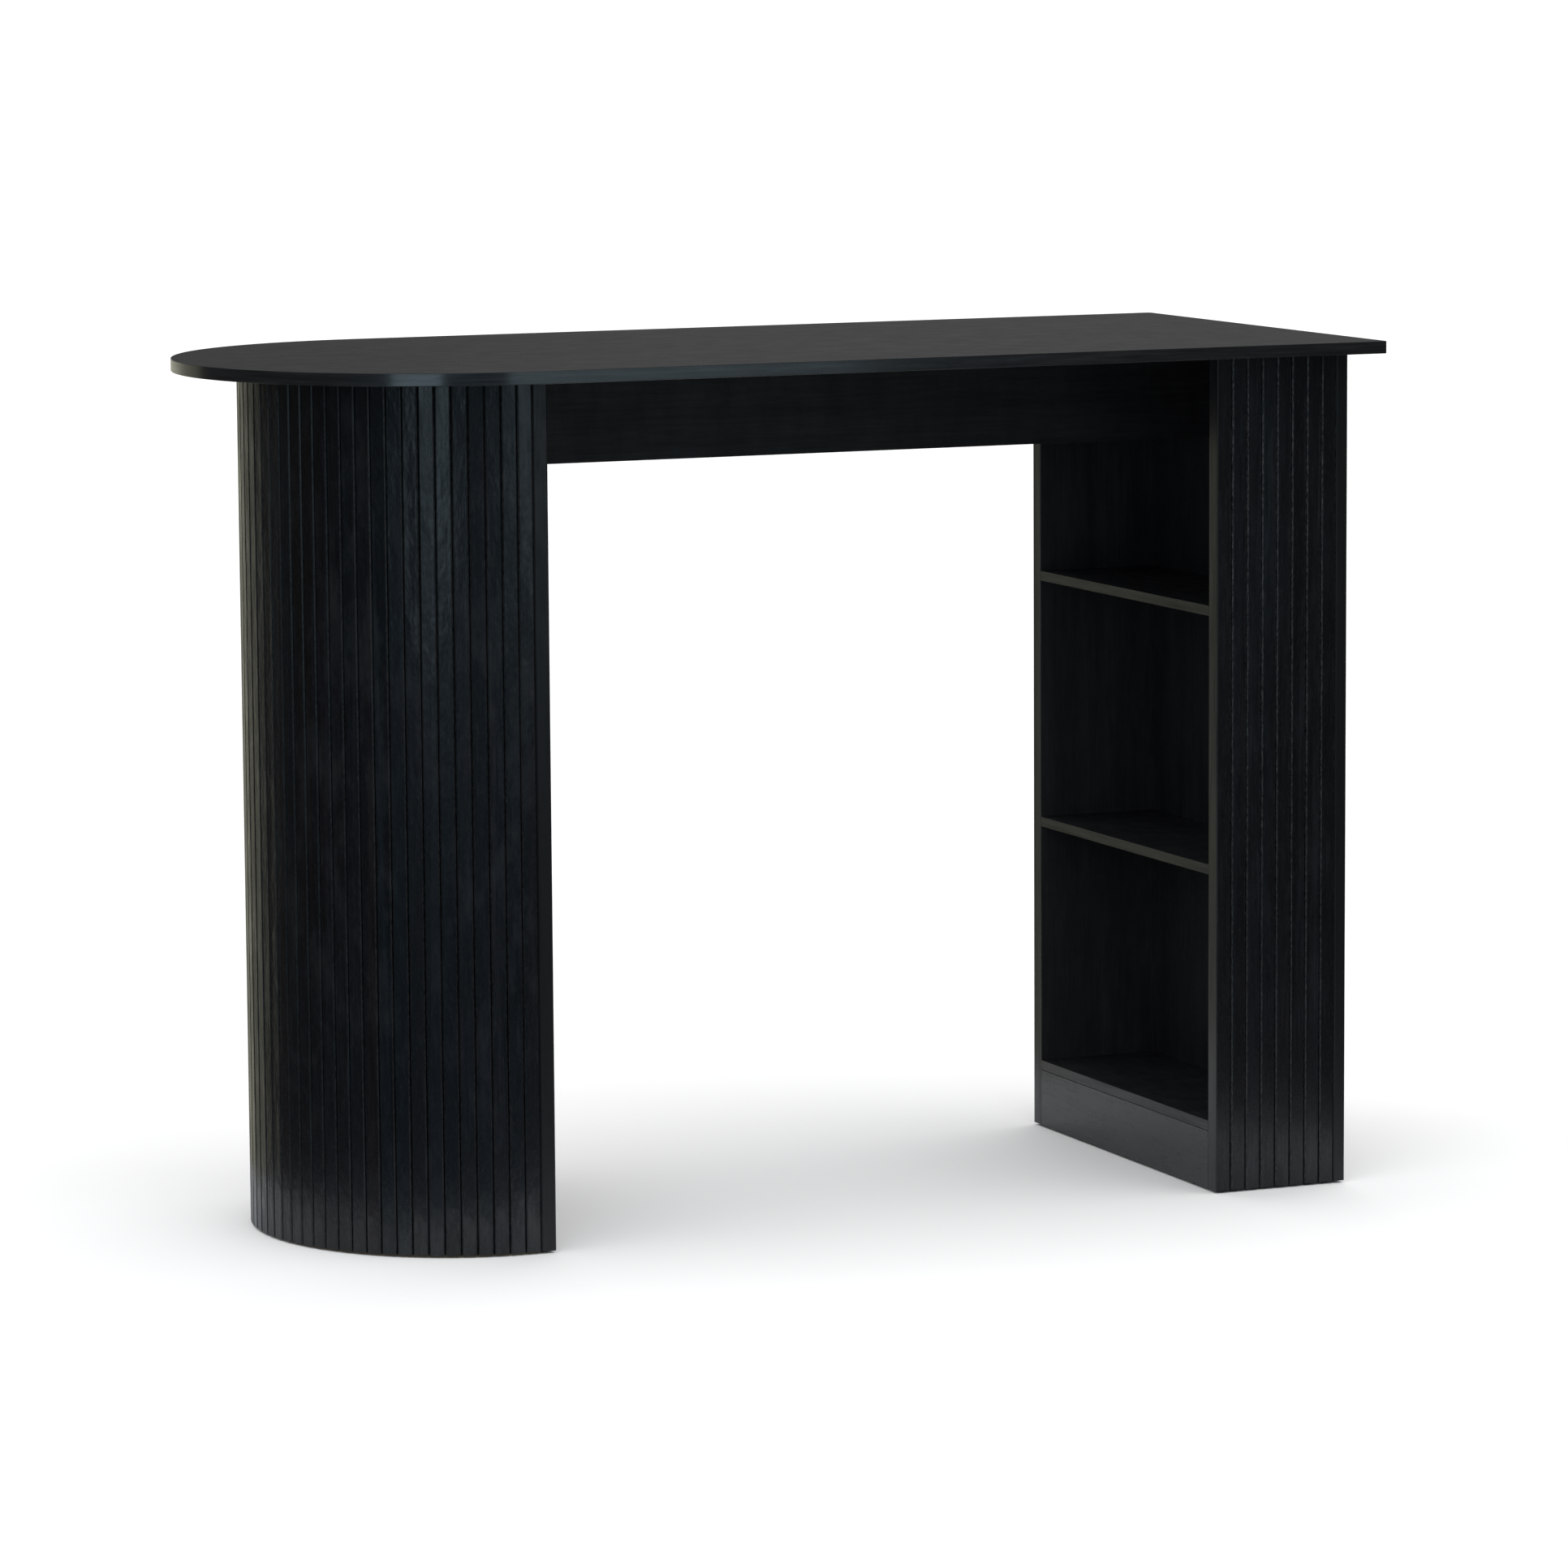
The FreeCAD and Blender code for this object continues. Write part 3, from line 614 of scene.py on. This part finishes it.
def add_floor():
    """Floor in two pieces: only the near one is seen in reflections."""
    material = floor_material()
    inner = oval_points(NEAR_FLOOR)
    outer = oval_points(FAR_FLOOR)
    near = floor_piece("floor_near", inner, [tuple(range(FLOOR_SIDES))], material)
    faces = []
    for index in range(FLOOR_SIDES):
        after = (index + 1) % FLOOR_SIDES
        faces.append((FLOOR_SIDES + index, FLOOR_SIDES + after, after, index))
    far = floor_piece("floor_far", inner + outer, faces, material)
    far.visible_glossy = False
    return near, far


def compass(degrees):
    """Level direction at an angle from the front (-Y) towards the round end (-X)."""
    turn = math.radians(degrees)
    return Vector((-math.sin(turn), -math.cos(turn), 0.0))


def add_world():
    """White backdrop for the eye, and a dim room for reflections: pale behind, bluish in front."""
    world = bpy.data.worlds.new("studio")
    world.use_nodes = True
    bpy.context.scene.world = world
    world.cycles.sampling_method = "NONE"
    room = Graph(world.node_tree)
    room.tree.nodes.clear()
    ray = room.add("ShaderNodeTexCoord").outputs["Generated"]
    across = room.part(ray, "X")
    height = room.part(ray, "Z")
    behind = room.dot(ray, compass(ROOM_BACK_TURN))
    ahead = room.dot(ray, compass(ROOM_FRONT_TURN))
    glow_side = room.dot(ray, compass(ROOM_GLOW_TURN))
    low = room.blend(room.span(glow_side, GLOW_LIMITS), ROOM_BACK_LOW, ROOM_GLOW)
    high = room.blend(room.span(across, RIGHT_LIMITS), ROOM_BACK_LEFT, ROOM_BACK_RIGHT)
    back = room.blend(room.span(height, HORIZON_LIMITS), low, high)
    walls = room.blend(room.span(behind, BACK_LIMITS), ROOM_DARK, back)
    walls = room.blend(room.span(ahead, FRONT_LIMITS), walls, ROOM_FRONT)
    walls = room.blend(room.span(height, CEILING_LIMITS), walls, ROOM_CEILING)
    glow = room.add("ShaderNodeBackground", {"Color": walls})
    backdrop = room.add("ShaderNodeBackground", {"Color": BACKDROP})
    eye = room.add("ShaderNodeLightPath").outputs["Is Camera Ray"]
    views = {0: eye, 1: glow.outputs[0], 2: backdrop.outputs[0]}
    mix = room.add("ShaderNodeMixShader", views)
    room.add("ShaderNodeOutputWorld", {"Surface": mix.outputs[0]})


def add_panel(name, place, target, size, brightness, colour):
    """Soft rectangular lamp that faces a point."""
    width, tall = size
    light = bpy.data.lights.new(name, "AREA")
    light.shape = "RECTANGLE"
    light.size = width
    light.size_y = tall
    light.energy = brightness * math.pi * width * tall
    light.color = colour
    lamp = bpy.data.objects.new(name, light)
    lamp.location = place
    lamp.rotation_euler = (target - place).to_track_quat("-Z", "Y").to_euler()
    lamp.visible_camera = False
    bpy.context.scene.collection.objects.link(lamp)
    return lamp


def add_softbox(name, turn, distance, size, brightness):
    """Bluish softbox that stands round the drum and faces it."""
    place = DRUM_AXIS + compass(turn) * distance + Vector((0.0, 0.0, SOFTBOX_HEIGHT))
    target = DRUM_AXIS + Vector((0.0, 0.0, SOFTBOX_AIM))
    add_panel(name, place, target, size, brightness, SOFTBOX_COLOUR)


def add_sky(name, energy):
    """Very wide soft light from straight above."""
    light = bpy.data.lights.new(name, "SUN")
    light.energy = energy
    light.angle = math.radians(SKY_SPREAD)
    lamp = bpy.data.objects.new(name, light)
    lamp.location = (0.0, 0.0, SKY_HEIGHT)
    lamp.visible_glossy = False
    bpy.context.scene.collection.objects.link(lamp)
    return lamp


def add_lights(floor_pieces):
    """Soft light on everything, more of it on the floor alone, softboxes and a card in front."""
    add_sky("overhead", TABLE_SKY)
    floor_lamp = add_sky("floor_light", FLOOR_SKY)
    lit_floor = bpy.data.collections.new("lit_floor")
    for piece in floor_pieces:
        lit_floor.objects.link(piece)
    floor_lamp.light_linking.receiver_collection = lit_floor
    for softbox in SOFTBOXES:
        add_softbox(*softbox)
    card = (FILL_PLACE, FILL_TARGET, FILL_SIZE, FILL_BRIGHTNESS, FILL_COLOUR)
    fill = add_panel("fill_card", *card)
    fill.visible_glossy = False


def add_camera():
    """Camera at the photograph's viewing angle."""
    turn = math.radians(CAMERA_TURN)
    tilt = math.radians(CAMERA_TILT)
    roll = math.radians(CAMERA_ROLL)
    ahead = Vector((math.sin(turn), math.cos(turn), 0.0)) * math.cos(tilt)
    forward = ahead - Vector((0.0, 0.0, math.sin(tilt)))
    level = Vector((math.cos(turn), -math.sin(turn), 0.0))
    upward = level.cross(forward)
    right = level * math.cos(roll) + upward * math.sin(roll)
    up = upward * math.cos(roll) - level * math.sin(roll)
    camera = bpy.data.cameras.new("camera")
    camera.sensor_width = SENSOR_MM
    camera.lens = FOCAL_PIXELS / PICTURE_PIXELS * SENSOR_MM
    camera.clip_end = CAMERA_REACH
    obj = bpy.data.objects.new("camera", camera)
    turned = Matrix((right, up, -forward)).transposed().to_4x4()
    obj.matrix_world = Matrix.Translation(CAMERA_PLACE) @ turned
    bpy.context.scene.collection.objects.link(obj)
    bpy.context.scene.camera = obj


dress_boards()
dress_bands()
dress_slats()
dress_hidden_pieces()
floor_pieces = add_floor()
add_world()
add_lights(floor_pieces)
add_camera()

bpy.context.scene.view_settings.view_transform = "Standard"
